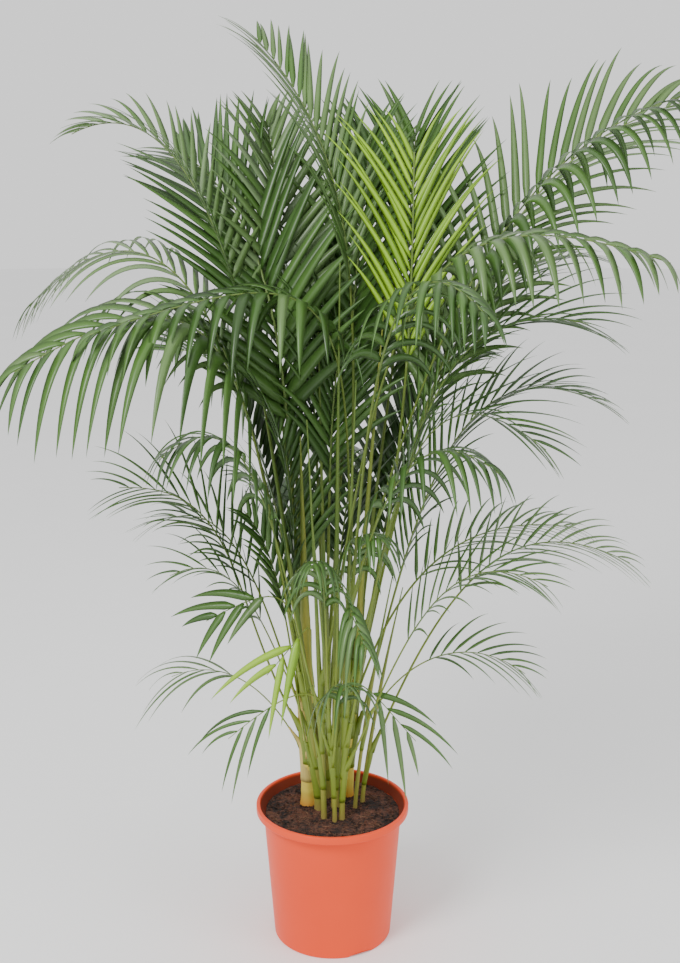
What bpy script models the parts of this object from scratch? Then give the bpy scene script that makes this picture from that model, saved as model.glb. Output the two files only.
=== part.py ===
"""An areca palm in a round nursery pot: a clump of canes, and arching feathered fronds.

The pot stands on its flat underside, centred on the origin. +X is to the right of the plant's
front, +Y is away from the viewer and +Z is up. Lengths are in metres and angles in degrees.
"""

import math
import random
from collections import namedtuple

import bpy
from mathutils import Matrix, Vector
from mathutils.bvhtree import BVHTree

# Driving dimensions
CLEARANCE = 0.0003

POT_HEIGHT = 0.220
POT_RIM_RADIUS = 0.120
POT_MOUTH_RADIUS = 0.1138
POT_SHOULDER_RADIUS = 0.1085
POT_FOOT_RADIUS = 0.093
POT_LIP_DEPTH = 0.012
POT_LIP_STEP = 0.003
POT_ROUNDING = 0.002
POT_WALL = 0.0025
POT_FLOOR = 0.004
POT_SIDES = 48
DRAIN_NOTCHES = 3
DRAIN_NOTCH_WIDTH = 0.040
DRAIN_NOTCH_HEIGHT = 0.0055
DRAIN_NOTCH_AZIMUTH = 298

SOIL_LEVEL = 0.205
SOIL_FLAT_RADIUS = 0.078
SOIL_LUMP = 0.0025
SOIL_SIDES = 24

CANE_SIDES = 8
CANE_RINGS = 7
CANE_LEAN_GROWTH = 1.3
CANE_FLARE = 1.15
CANE_FLARE_HEIGHT = 0.02
SPEAR_RINGS = 3
SPEAR_FOOT_SHARE = 0.75
SPEAR_TIP_RADIUS = 0.0008

RIB_RADIUS = 0.0034
RIB_FULL_SPAN = 0.72
RIB_FOOT_FLARE = 1.8
RIB_TIP_SHARE = 0.30
RIB_TIP_POINT = 0.028
RIB_CROWN = 0.3
RIB_KEEL = 0.9
RIB_SAMPLES = 96
STALK_STEPS = 6
BOW_AT_TIP = 0.72
SPLIT_TURN = 98
SPLIT_REACH = 0.39

# Leaflets stand closer to the rib towards its tip, and are longest at a share of the feathered part
LEAFLET_BASE_SHARE = 0.60
LEAFLET_ROOM_SHARE = 0.80
LEAFLET_TIP_SPREAD = 26
LEAFLET_LONGEST_AT = 0.4
LEAFLET_SHORTENING = 1.8
LEAFLET_STEPS = 8
LEAFLET_MIDDLE = 3
LEAFLET_BEND_GROWTH = 1.3
LEAFLET_THICKNESS_SHARE = 1 / 85

# How far leaflets stray from the rule, each way: angles, and shares of their weeping and length
STRAY_SPREAD = 3
STRAY_LIFT = 4
STRAY_WEEP = 0.10
STRAY_LENGTH = 0.05

# Where a cane stands on the soil, where its tip is, its radius at each, and the height that the
# spear on it reaches, which is its next frond, still rolled up
Cane = namedtuple("Cane", "name x y foot_radius tip_x tip_y tip_z tip_radius spear_z tone")
CANES = [
    Cane("thick", -0.038, 0.026, 0.0120, -0.042, 0.032, 0.50, 0.0085, 0.80, "cane_ripe"),
    Cane("front", -0.013, -0.027, 0.0045, -0.020, -0.030, 0.46, 0.0038, 0.84, "cane_green"),
    Cane("back", -0.008, 0.046, 0.0055, -0.012, 0.059, 0.50, 0.0045, 0.96, "cane_green"),
    Cane("pair_1", 0.004, -0.037, 0.0035, -0.007, -0.049, 0.42, 0.0030, 0.72, "cane_green"),
    Cane("pair_2", 0.015, -0.031, 0.0045, 0.021, -0.037, 0.48, 0.0038, 0.90, "cane_green"),
    Cane("right", 0.027, 0.050, 0.0065, 0.043, 0.064, 0.52, 0.0052, 1.00, "cane_ripe"),
    Cane("centre", 0.004, 0.012, 0.0060, 0.006, 0.015, 0.50, 0.0048, 1.06, "cane_green"),
    Cane("slim_1", 0.036, 0.006, 0.0032, 0.062, 0.004, 0.42, 0.0028, 0.60, "cane_green"),
    Cane("slim_2", 0.048, 0.028, 0.0035, 0.080, 0.036, 0.42, 0.0028, 0.56, "cane_green"),
    Cane("left_back", -0.022, 0.056, 0.0055, -0.044, 0.076, 0.50, 0.0045, 0.94, "cane_green"),
    Cane("left", -0.022, 0.004, 0.0060, -0.050, 0.001, 0.50, 0.0048, 0.86, "cane_green"),
]

# How a frond carries its leaflets: their angle from the rib where they start, their lift above the
# blade's plane, how strongly their weight bends them, their width, and their pitch along the rib
Habit = namedtuple("Habit", "spread lift weep width pitch")
HABITS = {
    "stiff": Habit(48, 24, 0.35, 0.018, 0.033),
    "plume": Habit(52, 26, 0.55, 0.015, 0.033),
    "open": Habit(52, 22, 0.70, 0.016, 0.036),
    "upright": Habit(30, 22, 0.45, 0.013, 0.033),
    "close": Habit(38, 28, 0.60, 0.014, 0.033),
    "fine": Habit(46, 18, 0.70, 0.011, 0.033),
    "slim": Habit(42, 14, 0.55, 0.011, 0.033),
    "drape": Habit(52, 4, 1.50, 0.013, 0.033),
    "nodding": Habit(54, 6, 2.60, 0.017, 0.033),
    "weeping": Habit(60, 10, 2.90, 0.020, 0.036),
    "hand": Habit(38, 4, 0.60, 0.020, 0.030),
    "finger": Habit(38, 4, 0.80, 0.013, 0.030),
    "wisp": Habit(34, 6, 1.40, 0.009, 0.030),
    "pair": Habit(30, 4, 0.70, 0.018, 0.040),
    "hanging": Habit(36, -8, 3.40, 0.020, 0.030),
}

# A frond's cane and the height of its foot there, the azimuth that it leaves in (0 is right, 90 is
# back), its tip's reach from the foot and height above the floor, its slant from upright at foot
# and tip, how far it holds them as a share of its span, the bare share of its length, its longest
# leaflet, the roll of its blade, its habit and its tone
Frond = namedtuple(
    "Frond", "name cane foot_z azimuth reach tip_z lean droop bow bare leaflet roll habit tone"
)
FRONDS = [
    Frond("top_1", "right", 0.42, 136, 0.21, 1.39, 2, 52, 0.51, 0.59, 0.18, 0, "upright", "leaf_dark"),
    Frond("top_2", "left_back", 0.44, 112, 0.17, 1.27, 11, 30, 0.38, 0.59, 0.18, 0, "stiff", "leaf_dark"),
    Frond("top_3", "back", 0.42, 66, 0.17, 1.25, 10, 16, 0.54, 0.53, 0.21, 0, "stiff", "leaf_dark"),
    Frond("top_4", "right", 0.49, 66, 0.22, 1.26, 16, 6, 0.45, 0.46, 0.25, 0, "stiff", "leaf_dark"),
    Frond("left_1", "left_back", 0.39, 174, 0.35, 1.24, 7, 118, 0.42, 0.52, 0.14, -12, "plume", "leaf_dark"),
    Frond("left_2", "thick", 0.42, 128, 0.33, 1.22, 4, 72, 0.52, 0.43, 0.24, -30, "stiff", "leaf_dark"),
    Frond("left_3", "left", 0.46, 170, 0.42, 0.98, 8, 136, 0.74, 0.46, 0.17, -14, "drape", "leaf_dark"),
    Frond("left_4", "left", 0.40, 206, 0.42, 0.93, 10, 118, 0.78, 0.50, 0.25, -24, "weeping", "leaf_dark"),
    Frond("front_1", "right", 0.36, 214, 0.42, 0.98, 0, 104, 0.87, 0.56, 0.17, -10, "weeping", "leaf_dark"),
    Frond("front_2", "pair_2", 0.38, 298, 0.36, 1.02, 5, 120, 0.59, 0.62, 0.14, 0, "nodding", "leaf_dark"),
    Frond("front_3", "front", 0.39, 205, 0.24, 0.80, 14, 128, 0.56, 0.55, 0.15, 0, "nodding", "leaf_dark"),
    Frond("front_4", "front", 0.37, 322, 0.30, 0.80, 14, 120, 0.54, 0.58, 0.15, 0, "nodding", "leaf_dark"),
    Frond("right_1", "front", 0.43, 331, 0.50, 1.08, 10, 107, 0.68, 0.58, 0.14, 10, "weeping", "leaf_dark"),
    Frond("right_2", "right", 0.46, 15, 0.56, 1.30, 13, 82, 0.48, 0.37, 0.23, 30, "open", "leaf_dark"),
    Frond("right_3", "centre", 0.36, 348, 0.36, 0.98, 16, 104, 0.51, 0.53, 0.22, 24, "slim", "leaf_dark"),
    Frond("right_4", "right", 0.40, 32, 0.45, 1.05, 14, 98, 0.50, 0.48, 0.18, 10, "slim", "leaf_dark"),
    Frond("right_5", "right", 0.31, 5, 0.38, 0.84, 14, 116, 0.58, 0.36, 0.18, 12, "slim", "leaf_dark"),
    Frond("right_6", "pair_2", 0.33, 335, 0.30, 0.82, 10, 126, 0.64, 0.54, 0.17, 12, "slim", "leaf_dark"),
    Frond("right_7", "centre", 0.47, 353, 0.52, 1.30, 14, 82, 0.44, 0.50, 0.15, 10, "weeping", "leaf_dark"),
    Frond("middle_1", "back", 0.47, 72, 0.14, 1.00, 6, 50, 0.48, 0.47, 0.20, 30, "close", "leaf_dark"),
    Frond("middle_2", "right", 0.42, 338, 0.08, 1.22, 12, 0, 0.45, 0.62, 0.22, -62, "upright", "leaf_young"),
    Frond("middle_3", "thick", 0.34, 150, 0.14, 0.92, 6, 60, 0.48, 0.38, 0.20, 0, "close", "leaf_dark"),
    Frond("back_1", "back", 0.36, 100, 0.38, 1.00, 10, 106, 0.50, 0.47, 0.22, 20, "close", "leaf_dark"),
    Frond("back_2", "right", 0.33, 58, 0.40, 0.86, 14, 110, 0.50, 0.38, 0.21, -25, "close", "leaf_dark"),
    Frond("back_3", "left_back", 0.33, 132, 0.38, 0.88, 10, 110, 0.50, 0.46, 0.21, 25, "close", "leaf_dark"),
    Frond("back_4", "back", 0.29, 78, 0.34, 0.70, 14, 112, 0.53, 0.47, 0.19, -20, "close", "leaf_dark"),
    Frond("back_5", "left_back", 0.29, 112, 0.34, 0.64, 14, 112, 0.53, 0.44, 0.18, 30, "close", "leaf_dark"),
    Frond("low_right_1", "slim_2", 0.29, 10, 0.42, 0.58, 22, 119, 0.62, 0.48, 0.15, 20, "fine", "leaf_light"),
    Frond("low_right_2", "centre", 0.29, 22, 0.42, 0.62, 14, 104, 0.58, 0.49, 0.14, 15, "fine", "leaf_dark"),
    Frond("low_right_3", "pair_2", 0.29, 345, 0.30, 0.61, 22, 116, 0.55, 0.47, 0.14, 20, "fine", "leaf_light"),
    Frond("low_right_4", "slim_1", 0.36, 355, 0.24, 0.44, 28, 128, 0.54, 0.45, 0.12, 20, "fine", "leaf_dark"),
    Frond("low_right_5", "centre", 0.31, 321, 0.15, 0.36, 9, 123, 1.07, 0.57, 0.13, 70, "finger", "leaf_dark"),
    Frond("low_left_1", "thick", 0.33, 186, 0.27, 0.73, 26, 92, 0.54, 0.53, 0.17, -30, "fine", "leaf_dark"),
    Frond("low_left_2", "left", 0.33, 162, 0.25, 0.65, 18, 122, 0.54, 0.53, 0.14, -20, "fine", "leaf_dark"),
    Frond("low_left_3", "thick", 0.37, 195, 0.20, 0.60, 22, 114, 0.52, 0.43, 0.13, -20, "fine", "leaf_dark"),
    Frond("low_left_4", "front", 0.31, 181, 0.17, 0.53, 11, 119, 0.92, 0.73, 0.11, -60, "hand", "leaf_dark"),
    Frond("low_left_5", "thick", 0.30, 188, 0.20, 0.43, 24, 112, 0.50, 0.58, 0.15, -10, "wisp", "leaf_light"),
    Frond("low_left_6", "pair_1", 0.39, 191, 0.15, 0.36, 13, 128, 0.51, 0.54, 0.13, -60, "wisp", "leaf_dark"),
    Frond("low_left_7", "left", 0.28, 190, 0.10, 0.70, 12, 40, 0.35, 0.56, 0.11, -50, "upright", "leaf_dark"),
    Frond("low_front_1", "pair_1", 0.36, 258, 0.12, 0.65, 10, 112, 0.50, 0.58, 0.10, 0, "hanging", "leaf_dark"),
    Frond("low_front_2", "pair_1", 0.30, 285, 0.10, 0.46, 16, 114, 0.50, 0.55, 0.12, 0, "hanging", "leaf_dark"),
    Frond("low_front_3", "pair_1", 0.32, 221, 0.12, 0.48, 19, 124, 1.26, 0.74, 0.14, -65, "pair", "leaf_young"),
    Frond("low_front_4", "centre", 0.38, 304, 0.12, 0.67, 14, 112, 0.50, 0.60, 0.11, 0, "hanging", "leaf_dark"),
    Frond("low_front_5", "pair_1", 0.33, 289, 0.15, 0.54, 12, 120, 1.22, 0.77, 0.10, 0, "hanging", "leaf_light"),
]

# What a leaflet that would meet something else tries: another swing, and a share of its length
TRIALS = [(0, 1), (-8, 1), (8, 1), (-14, 0.9), (0, 0.8), (12, 0.8), (-10, 0.7), (0, 0.6), (10, 0.5)]
SWELL = 0.0005

# Base colour (linear), roughness
TONES = {
    "pot": ((0.79, 0.19, 0.09), 0.45),
    "soil": ((0.035, 0.018, 0.011), 0.95),
    "cane_ripe": ((0.52, 0.42, 0.13), 0.55),
    "cane_green": ((0.22, 0.30, 0.06), 0.55),
    "leaf_dark": ((0.05, 0.13, 0.03), 0.45),
    "leaf_light": ((0.11, 0.20, 0.06), 0.45),
    "leaf_young": ((0.24, 0.42, 0.04), 0.45),
}

UP = Vector((0, 0, 1))


def slanted(azimuth, slant):
    """The direction at a slant from upright, towards an azimuth."""
    turn, tilt = math.radians(azimuth), math.radians(slant)
    return Vector((math.cos(turn) * math.sin(tilt), math.sin(turn) * math.sin(tilt), math.cos(tilt)))


def clear_scene():
    for obj in list(bpy.data.objects):
        bpy.data.objects.remove(obj)


def make_material(tone):
    colour, roughness = TONES[tone]
    material = bpy.data.materials.new(tone)
    material.use_nodes = True
    shader = material.node_tree.nodes["Principled BSDF"]
    shader.inputs["Base Color"].default_value = (*colour, 1)
    shader.inputs["Roughness"].default_value = roughness
    shader.inputs["Metallic"].default_value = 0
    return material


def add_object(name, points, faces, material, smooth=True):
    mesh = bpy.data.meshes.new(name)
    mesh.from_pydata(points, [], faces)
    mesh.materials.append(material)
    if smooth:
        mesh.shade_smooth()
        mesh.set_sharp_from_angle(angle=math.radians(40))
    obj = bpy.data.objects.new(name, mesh)
    bpy.context.scene.collection.objects.link(obj)
    return obj


# Pot and soil


def turned(profile, sides, lump=None):
    """Points and faces of a closed (radius, height) profile turned round Z, whose ends lie on the axis."""
    points = [Vector((0, 0, profile[0][1]))]
    inner = profile[1:-1]
    for row, (radius, height) in enumerate(inner):
        for side in range(sides):
            turn = math.tau * side / sides
            raised = lump(row, side) if lump else 0
            points.append(Vector((radius * math.cos(turn), radius * math.sin(turn), height + raised)))
    points.append(Vector((0, 0, profile[-1][1])))
    last = len(points) - 1

    def at(row, side):
        return 1 + row * sides + side % sides

    faces = []
    for side in range(sides):
        faces.append((0, at(0, side + 1), at(0, side)))
        for row in range(len(inner) - 1):
            faces.append((at(row, side), at(row, side + 1), at(row + 1, side + 1), at(row + 1, side)))
        faces.append((at(len(inner) - 1, side), at(len(inner) - 1, side + 1), last))
    return points, faces


def wall_radius(height):
    """Inside radius of the pot's straight wall."""
    share = (height - POT_FLOOR) / (POT_HEIGHT - POT_LIP_DEPTH - POT_FLOOR)
    return POT_FOOT_RADIUS - POT_WALL + share * (POT_SHOULDER_RADIUS - POT_FOOT_RADIUS)


def make_pot(material):
    """A tapered wall with a rolled lip, and drain notches round the lower corner."""
    lip_foot = POT_HEIGHT - POT_LIP_DEPTH
    step_foot = lip_foot - POT_LIP_STEP
    half = 0.5 * POT_ROUNDING
    profile = [
        (0, 0),
        (POT_FOOT_RADIUS - half, 0),
        (POT_FOOT_RADIUS, half),
        (POT_SHOULDER_RADIUS, step_foot),
        (POT_RIM_RADIUS - POT_ROUNDING, lip_foot),
        (POT_RIM_RADIUS, lip_foot + POT_ROUNDING),
        (POT_RIM_RADIUS, POT_HEIGHT - POT_ROUNDING),
        (POT_RIM_RADIUS - half, POT_HEIGHT - half / 2),
        (POT_RIM_RADIUS - POT_ROUNDING, POT_HEIGHT),
        (POT_MOUTH_RADIUS, POT_HEIGHT - POT_ROUNDING),
        (wall_radius(step_foot), step_foot),
        (wall_radius(POT_FLOOR), POT_FLOOR),
        (0, POT_FLOOR),
    ]
    points, faces = turned(profile, POT_SIDES)
    pot = add_object("pot", points, faces, material)
    for notch in range(DRAIN_NOTCHES):
        cut_drain_notch(pot, math.radians(DRAIN_NOTCH_AZIMUTH) + math.tau * notch / DRAIN_NOTCHES)
    return pot


def cut_drain_notch(pot, turn):
    """An arched opening through the lower corner of the wall, which opens to the underside too."""
    depth = 4 * POT_WALL
    bpy.ops.mesh.primitive_cylinder_add(vertices=16, radius=0.5, depth=1)
    cutter = bpy.context.object
    cutter.name = "drain_cutter"
    cutter.hide_render = True
    cutter.display_type = "WIRE"
    across = Matrix.Rotation(math.radians(90), 4, "Y")
    size = Matrix.Diagonal((depth, DRAIN_NOTCH_WIDTH, 2 * DRAIN_NOTCH_HEIGHT, 1))
    place = Matrix.Rotation(turn, 4, "Z") @ Matrix.Translation((POT_FOOT_RADIUS, 0, 0))
    cutter.data.transform(place @ size @ across)
    cut = pot.modifiers.new("drain", "BOOLEAN")
    cut.operation = "DIFFERENCE"
    cut.solver = "EXACT"
    cut.object = cutter


def make_soil(material):
    """A plug that fills the pot to below its lip. Its top is flat under the clump and lumpy beside it."""
    chance = random.Random("soil")
    foot = POT_FLOOR + CLEARANCE
    near_wall = 1.5 * CLEARANCE
    middle = 0.5 * (SOIL_FLAT_RADIUS + wall_radius(SOIL_LEVEL))
    profile = [
        (0, foot),
        (wall_radius(foot) - near_wall, foot),
        (wall_radius(SOIL_LEVEL) - near_wall - SOIL_LUMP / 4, SOIL_LEVEL - SOIL_LUMP),
        (middle, SOIL_LEVEL),
        (SOIL_FLAT_RADIUS, SOIL_LEVEL),
        (0, SOIL_LEVEL),
    ]
    lumpy_row = 2

    def lump(row, side):
        return chance.uniform(-SOIL_LUMP, SOIL_LUMP) if row == lumpy_row else 0

    points, faces = turned(profile, SOIL_SIDES, lump)
    return add_object("soil", points, faces, material)


# Canes

Ring = namedtuple("Ring", "centre radius")


def cane_centre(cane, height):
    """The cane leaves the soil upright and leans more as it rises, and its spear goes on likewise."""
    drift = ((height - SOIL_LEVEL) / (cane.tip_z - SOIL_LEVEL)) ** CANE_LEAN_GROWTH
    x = cane.x + (cane.tip_x - cane.x) * drift
    y = cane.y + (cane.tip_y - cane.y) * drift
    return Vector((x, y, height))


def cane_ring(cane, height):
    """A ring of the cane, whose foot is flared."""
    share = (height - SOIL_LEVEL) / (cane.tip_z - SOIL_LEVEL)
    flare = max(0, 1 - (height - SOIL_LEVEL) / CANE_FLARE_HEIGHT) ** 2
    body = cane.foot_radius + (cane.tip_radius - cane.foot_radius) * share
    return Ring(cane_centre(cane, height), body * (1 + (CANE_FLARE - 1) * flare))


def spear_rings(cane):
    """The spear is slimmer than the cane's tip at once, and ends in a blunt point."""
    rise = (cane.spear_z - cane.tip_z) / SPEAR_RINGS
    foot_radius = SPEAR_FOOT_SHARE * cane.tip_radius
    rings = []
    for step in range(1, SPEAR_RINGS + 1):
        share = step / SPEAR_RINGS
        radius = foot_radius + (SPEAR_TIP_RADIUS - foot_radius) * share
        rings.append(Ring(cane_centre(cane, cane.tip_z + rise * step), radius))
    return rings


def cane_rings(cane):
    foot = SOIL_LEVEL + CLEARANCE
    flared = [foot, foot + 0.5 * CANE_FLARE_HEIGHT]
    rise = (cane.tip_z - foot - CANE_FLARE_HEIGHT) / (CANE_RINGS - 2)
    straight = [foot + CANE_FLARE_HEIGHT + rise * step for step in range(CANE_RINGS - 1)]
    return [cane_ring(cane, height) for height in flared + straight]


def cane_section(cane, height):
    """Centre and radius of the cane at a height, as straight between two of its rings."""
    rings = cane_rings(cane)
    low, high = next(pair for pair in zip(rings, rings[1:]) if pair[1].centre.z >= height)
    share = (height - low.centre.z) / (high.centre.z - low.centre.z)
    return Ring(low.centre.lerp(high.centre, share), low.radius + share * (high.radius - low.radius))


def make_cane(cane, material):
    """One tapering limb with a flared foot, cut flat at the soil, and the spear on its tip."""
    rings = cane_rings(cane) + spear_rings(cane)
    points = []
    for ring in rings:
        for side in range(CANE_SIDES):
            points.append(ring.centre + ring.radius * slanted(360 * side / CANE_SIDES, 90))
    faces = [tuple(reversed(range(CANE_SIDES)))]
    for row in range(len(rings) - 1):
        for side in range(CANE_SIDES):
            one, two = row * CANE_SIDES + side, row * CANE_SIDES + (side + 1) % CANE_SIDES
            faces.append((one, two, two + CANE_SIDES, one + CANE_SIDES))
    faces.append(tuple(range(len(points) - CANE_SIDES, len(points))))
    return add_object("cane_" + cane.name, points, faces, material)


# Fronds

Station = namedtuple("Station", "centre along side normal radius")
Blade = namedtuple("Blade", "stations segments pitch pairs tip")


def rib_radius(frond, share):
    """Half the rib's width. A long frond has a stouter rib, and its foot clasps the cane."""
    span = math.hypot(frond.reach, frond.tip_z - frond.foot_z)
    stoutness = min(1, span / RIB_FULL_SPAN) ** 0.5
    flare = RIB_FOOT_FLARE if share == 0 else 1
    return RIB_RADIUS * stoutness * flare * (1 - (1 - RIB_TIP_SHARE) * share)


def frond_foot(frond):
    """The rib's foot. Its inner side is just clear of the cane's faceted side."""
    cane = next(one for one in CANES if one.name == frond.cane)
    section = cane_section(cane, frond.foot_z)
    half_side = 180 / CANE_SIDES
    off_corner = (frond.azimuth + half_side) % (2 * half_side) - half_side
    to_side = section.radius * math.cos(math.radians(off_corner))
    stand_off = to_side + CLEARANCE + RIB_CROWN * rib_radius(frond, 0)
    return section.centre + stand_off * slanted(frond.azimuth, 90)


def bezier(ends, share):
    keep = 1 - share
    weights = (keep**3, 3 * keep**2 * share, 3 * keep * share**2, share**3)
    return sum((weight * end for weight, end in zip(weights, ends)), Vector((0, 0, 0)))


def frond_course(frond):
    """Points along the rib, one curve in an upright plane, and their distances from its foot."""
    foot = frond_foot(frond)
    tip = foot + frond.reach * slanted(frond.azimuth, 90) + (frond.tip_z - frond.foot_z) * UP
    held = frond.bow * (tip - foot).length
    ends = (
        foot,
        foot + held * slanted(frond.azimuth, frond.lean),
        tip - BOW_AT_TIP * held * slanted(frond.azimuth, frond.droop),
        tip,
    )
    points = [bezier(ends, step / RIB_SAMPLES) for step in range(RIB_SAMPLES + 1)]
    distances = [0.0]
    for one, two in zip(points, points[1:]):
        distances.append(distances[-1] + (two - one).length)
    return points, distances


def station_at(frond, course, distance):
    """The rib's centre, direction, right-hand side, upper side and radius, at a distance along it."""
    points, distances = course
    index = next(i for i, end in enumerate(distances[1:]) if end >= distance)
    part = (distance - distances[index]) / (distances[index + 1] - distances[index])
    along = (points[index + 1] - points[index]).normalized()
    share = distance / distances[-1]
    roll = math.radians(frond.roll) * min(1, share / frond.bare)
    side = Matrix.Rotation(roll, 3, along) @ slanted(frond.azimuth - 90, 90)
    centre = points[index].lerp(points[index + 1], part)
    return Station(centre, along, side, side.cross(along), rib_radius(frond, share))


def plan_blade(frond):
    """Stations along the rib, and for each stretch between two of them its leaflet pair, or None."""
    course = frond_course(frond)
    length = course[1][-1]
    bare = frond.bare * length
    pairs = round((length - RIB_TIP_POINT - bare) / HABITS[frond.habit].pitch)
    pitch = (length - RIB_TIP_POINT - bare) / pairs
    distances = [bare * step / STALK_STEPS for step in range(STALK_STEPS)]
    segments = [None] * STALK_STEPS
    for pair in range(pairs):
        start = bare + pair * pitch
        distances += [start, start + LEAFLET_BASE_SHARE * pitch]
        segments += [pair, None]
    stations = [station_at(frond, course, distance) for distance in distances]
    return Blade(stations, segments[:-1], pitch, pairs, course[0][-1])


def make_leaflet(frond, root, side, share, pitch, swing, shrink, chance):
    """Two edges, a keel and a tip: a three-sided leaflet that leaves the rib and bends under its weight."""
    habit = HABITS[frond.habit]
    spread = habit.spread + (LEAFLET_TIP_SPREAD - habit.spread) * share + swing
    spread = math.radians(spread + chance.uniform(-STRAY_SPREAD, STRAY_SPREAD))
    lift = math.radians(habit.lift + chance.uniform(-STRAY_LIFT, STRAY_LIFT))
    weep = habit.weep * (1 + chance.uniform(-STRAY_WEEP, STRAY_WEEP))
    length = shrink * frond.leaflet * (1 + chance.uniform(-STRAY_LENGTH, STRAY_LENGTH))
    length *= 1 - LEAFLET_SHORTENING * (share - LEAFLET_LONGEST_AT) ** 2
    outward = math.cos(lift) * side * root.side + math.sin(lift) * root.normal
    start = math.cos(spread) * root.along + math.sin(spread) * outward
    course = [root.centre]
    for step in range(LEAFLET_STEPS):
        bend = weep * ((step + 0.5) / LEAFLET_STEPS) ** LEAFLET_BEND_GROWTH
        heading = (start - bend * UP).normalized()
        course.append(course[-1] + heading * length / LEAFLET_STEPS)
    middle = course[LEAFLET_MIDDLE]
    heading = (course[LEAFLET_MIDDLE + 1] - middle).normalized()
    across = (root.along - root.along.dot(heading) * heading).normalized()
    under = heading.cross(across) * -side
    width = min(habit.width, LEAFLET_ROOM_SHARE * pitch * math.sin(spread))
    keel = middle + length * LEAFLET_THICKNESS_SHARE * under
    return middle + 0.5 * width * across, middle - 0.5 * width * across, keel, course[-1]


def leaflet_faces(here, following, leaflet, side):
    """Faces of a leaflet that stands on one lower side of the rib between two of its rings."""
    ahead, behind, under, tip = leaflet
    edge, next_edge = here[side > 0], following[side > 0]
    keel, next_keel = here[2], following[2]
    faces = [
        (edge, behind, ahead),
        (edge, ahead, next_edge),
        (edge, keel, under),
        (edge, under, behind),
        (next_edge, ahead, under),
        (next_edge, under, next_keel),
        (keel, next_keel, under),
        (behind, tip, ahead),
        (behind, under, tip),
        (ahead, tip, under),
    ]
    return faces if side > 0 else [tuple(reversed(face)) for face in faces]


def rib_faces(here, following):
    """The rib's upper side, right-hand side and left-hand side between two rings."""
    return [(here[i], here[i - 2], following[i - 2], following[i]) for i in (0, 1, 2)]


def ring_points(station, extra=0):
    """Left edge, right edge and keel of the rib."""
    radius = station.radius + extra
    top = station.centre + RIB_CROWN * radius * station.normal
    keel = station.centre - RIB_KEEL * radius * station.normal
    return [top - radius * station.side, top + radius * station.side, keel]


def frond_shape(blade, leaflets, first, last, extra=0):
    """Closed points and faces of the frond between two stations. It is cut flat, or comes to its tip."""
    points = ring_points(blade.stations[first], extra)
    faces = [(0, 2, 1)]
    here = (0, 1, 2)
    for ring in range(first, last):
        following = tuple(range(len(points), len(points) + 3))
        points += ring_points(blade.stations[ring + 1], extra)
        sides = rib_faces(here, following)
        faces.append(sides[0])
        for side, bare_side in ((1, sides[1]), (-1, sides[2])):
            leaflet = leaflets.get((blade.segments[ring], side))
            if leaflet:
                corners = range(len(points), len(points) + 4)
                points += leaflet
                faces += leaflet_faces(here, following, corners, side)
            else:
                faces.append(bare_side)
        here = following
    if last == len(blade.stations) - 1:
        points.append(blade.tip)
        tip = len(points) - 1
        faces += [(here[0], here[1], tip), (here[1], here[2], tip), (here[2], here[0], tip)]
    else:
        faces.append(here)
    return points, faces


class Growth:
    """What already stands, as small closed shapes, so that a new leaflet is kept clear of it."""

    def __init__(self):
        self.shapes = []

    @staticmethod
    def box(points):
        return [(min(p[axis] for p in points), max(p[axis] for p in points)) for axis in range(3)]

    def add(self, owner, points, faces):
        self.shapes.append((owner, self.box(points), BVHTree.FromPolygons(points, faces)))

    def meets(self, points, faces, spared=()):
        """Whether a shape meets one that stands, other than those of the spared owners."""
        box = self.box(points)
        tree = BVHTree.FromPolygons(points, faces)
        for owner, other_box, other in self.shapes:
            apart = any(a[0] > b[1] or a[1] < b[0] for a, b in zip(box, other_box))
            if owner not in spared and not apart and tree.overlap(other):
                return True
        return False


def swollen(leaflet, here, following, side):
    """The leaflet's points and faces, with the part beyond its root half a millimetre larger all round."""
    ahead, behind, under, tip = leaflet
    across = (ahead - behind).normalized()
    middle = 0.5 * (ahead + behind)
    down = (under - middle).normalized()
    points = [
        *here,
        *following,
        ahead + SWELL * (across - down),
        behind - SWELL * (across + down),
        under + SWELL * down,
        tip + SWELL * (tip - middle).normalized(),
    ]
    return points, leaflet_faces((0, 1, 2), (3, 4, 5), (6, 7, 8, 9), side)


def grow_leaflets(frond, blade, growth):
    """Each leaflet of a frond at its first trial that stays clear of all else, or left out."""
    chance = random.Random(frond.name)
    leaflets = {}
    for ring, pair in enumerate(blade.segments):
        if pair is None:
            continue
        one, two = blade.stations[ring], blade.stations[ring + 1]
        root = one._replace(centre=one.centre.lerp(two.centre, 0.5))
        for side in (1, -1):
            beside = {(frond.name, pair, -side), (frond.name, "rib")}
            state = chance.getstate()
            for swing, shrink in TRIALS:
                chance.setstate(state)
                share = (pair + 0.5) / blade.pairs
                leaflet = make_leaflet(frond, root, side, share, blade.pitch, swing, shrink, chance)
                shape = swollen(leaflet, ring_points(one), ring_points(two), side)
                if not growth.meets(*shape, beside):
                    leaflets[pair, side] = leaflet
                    growth.add((frond.name, pair, side), *shape)
                    break
    return leaflets


def bend_station(frond, blade):
    """The station where the rib has turned half its way from foot to tip."""
    half = math.cos(math.radians((frond.lean + frond.droop) / 2))
    return next(ring for ring, station in enumerate(blade.stations) if station.along.z < half)


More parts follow.
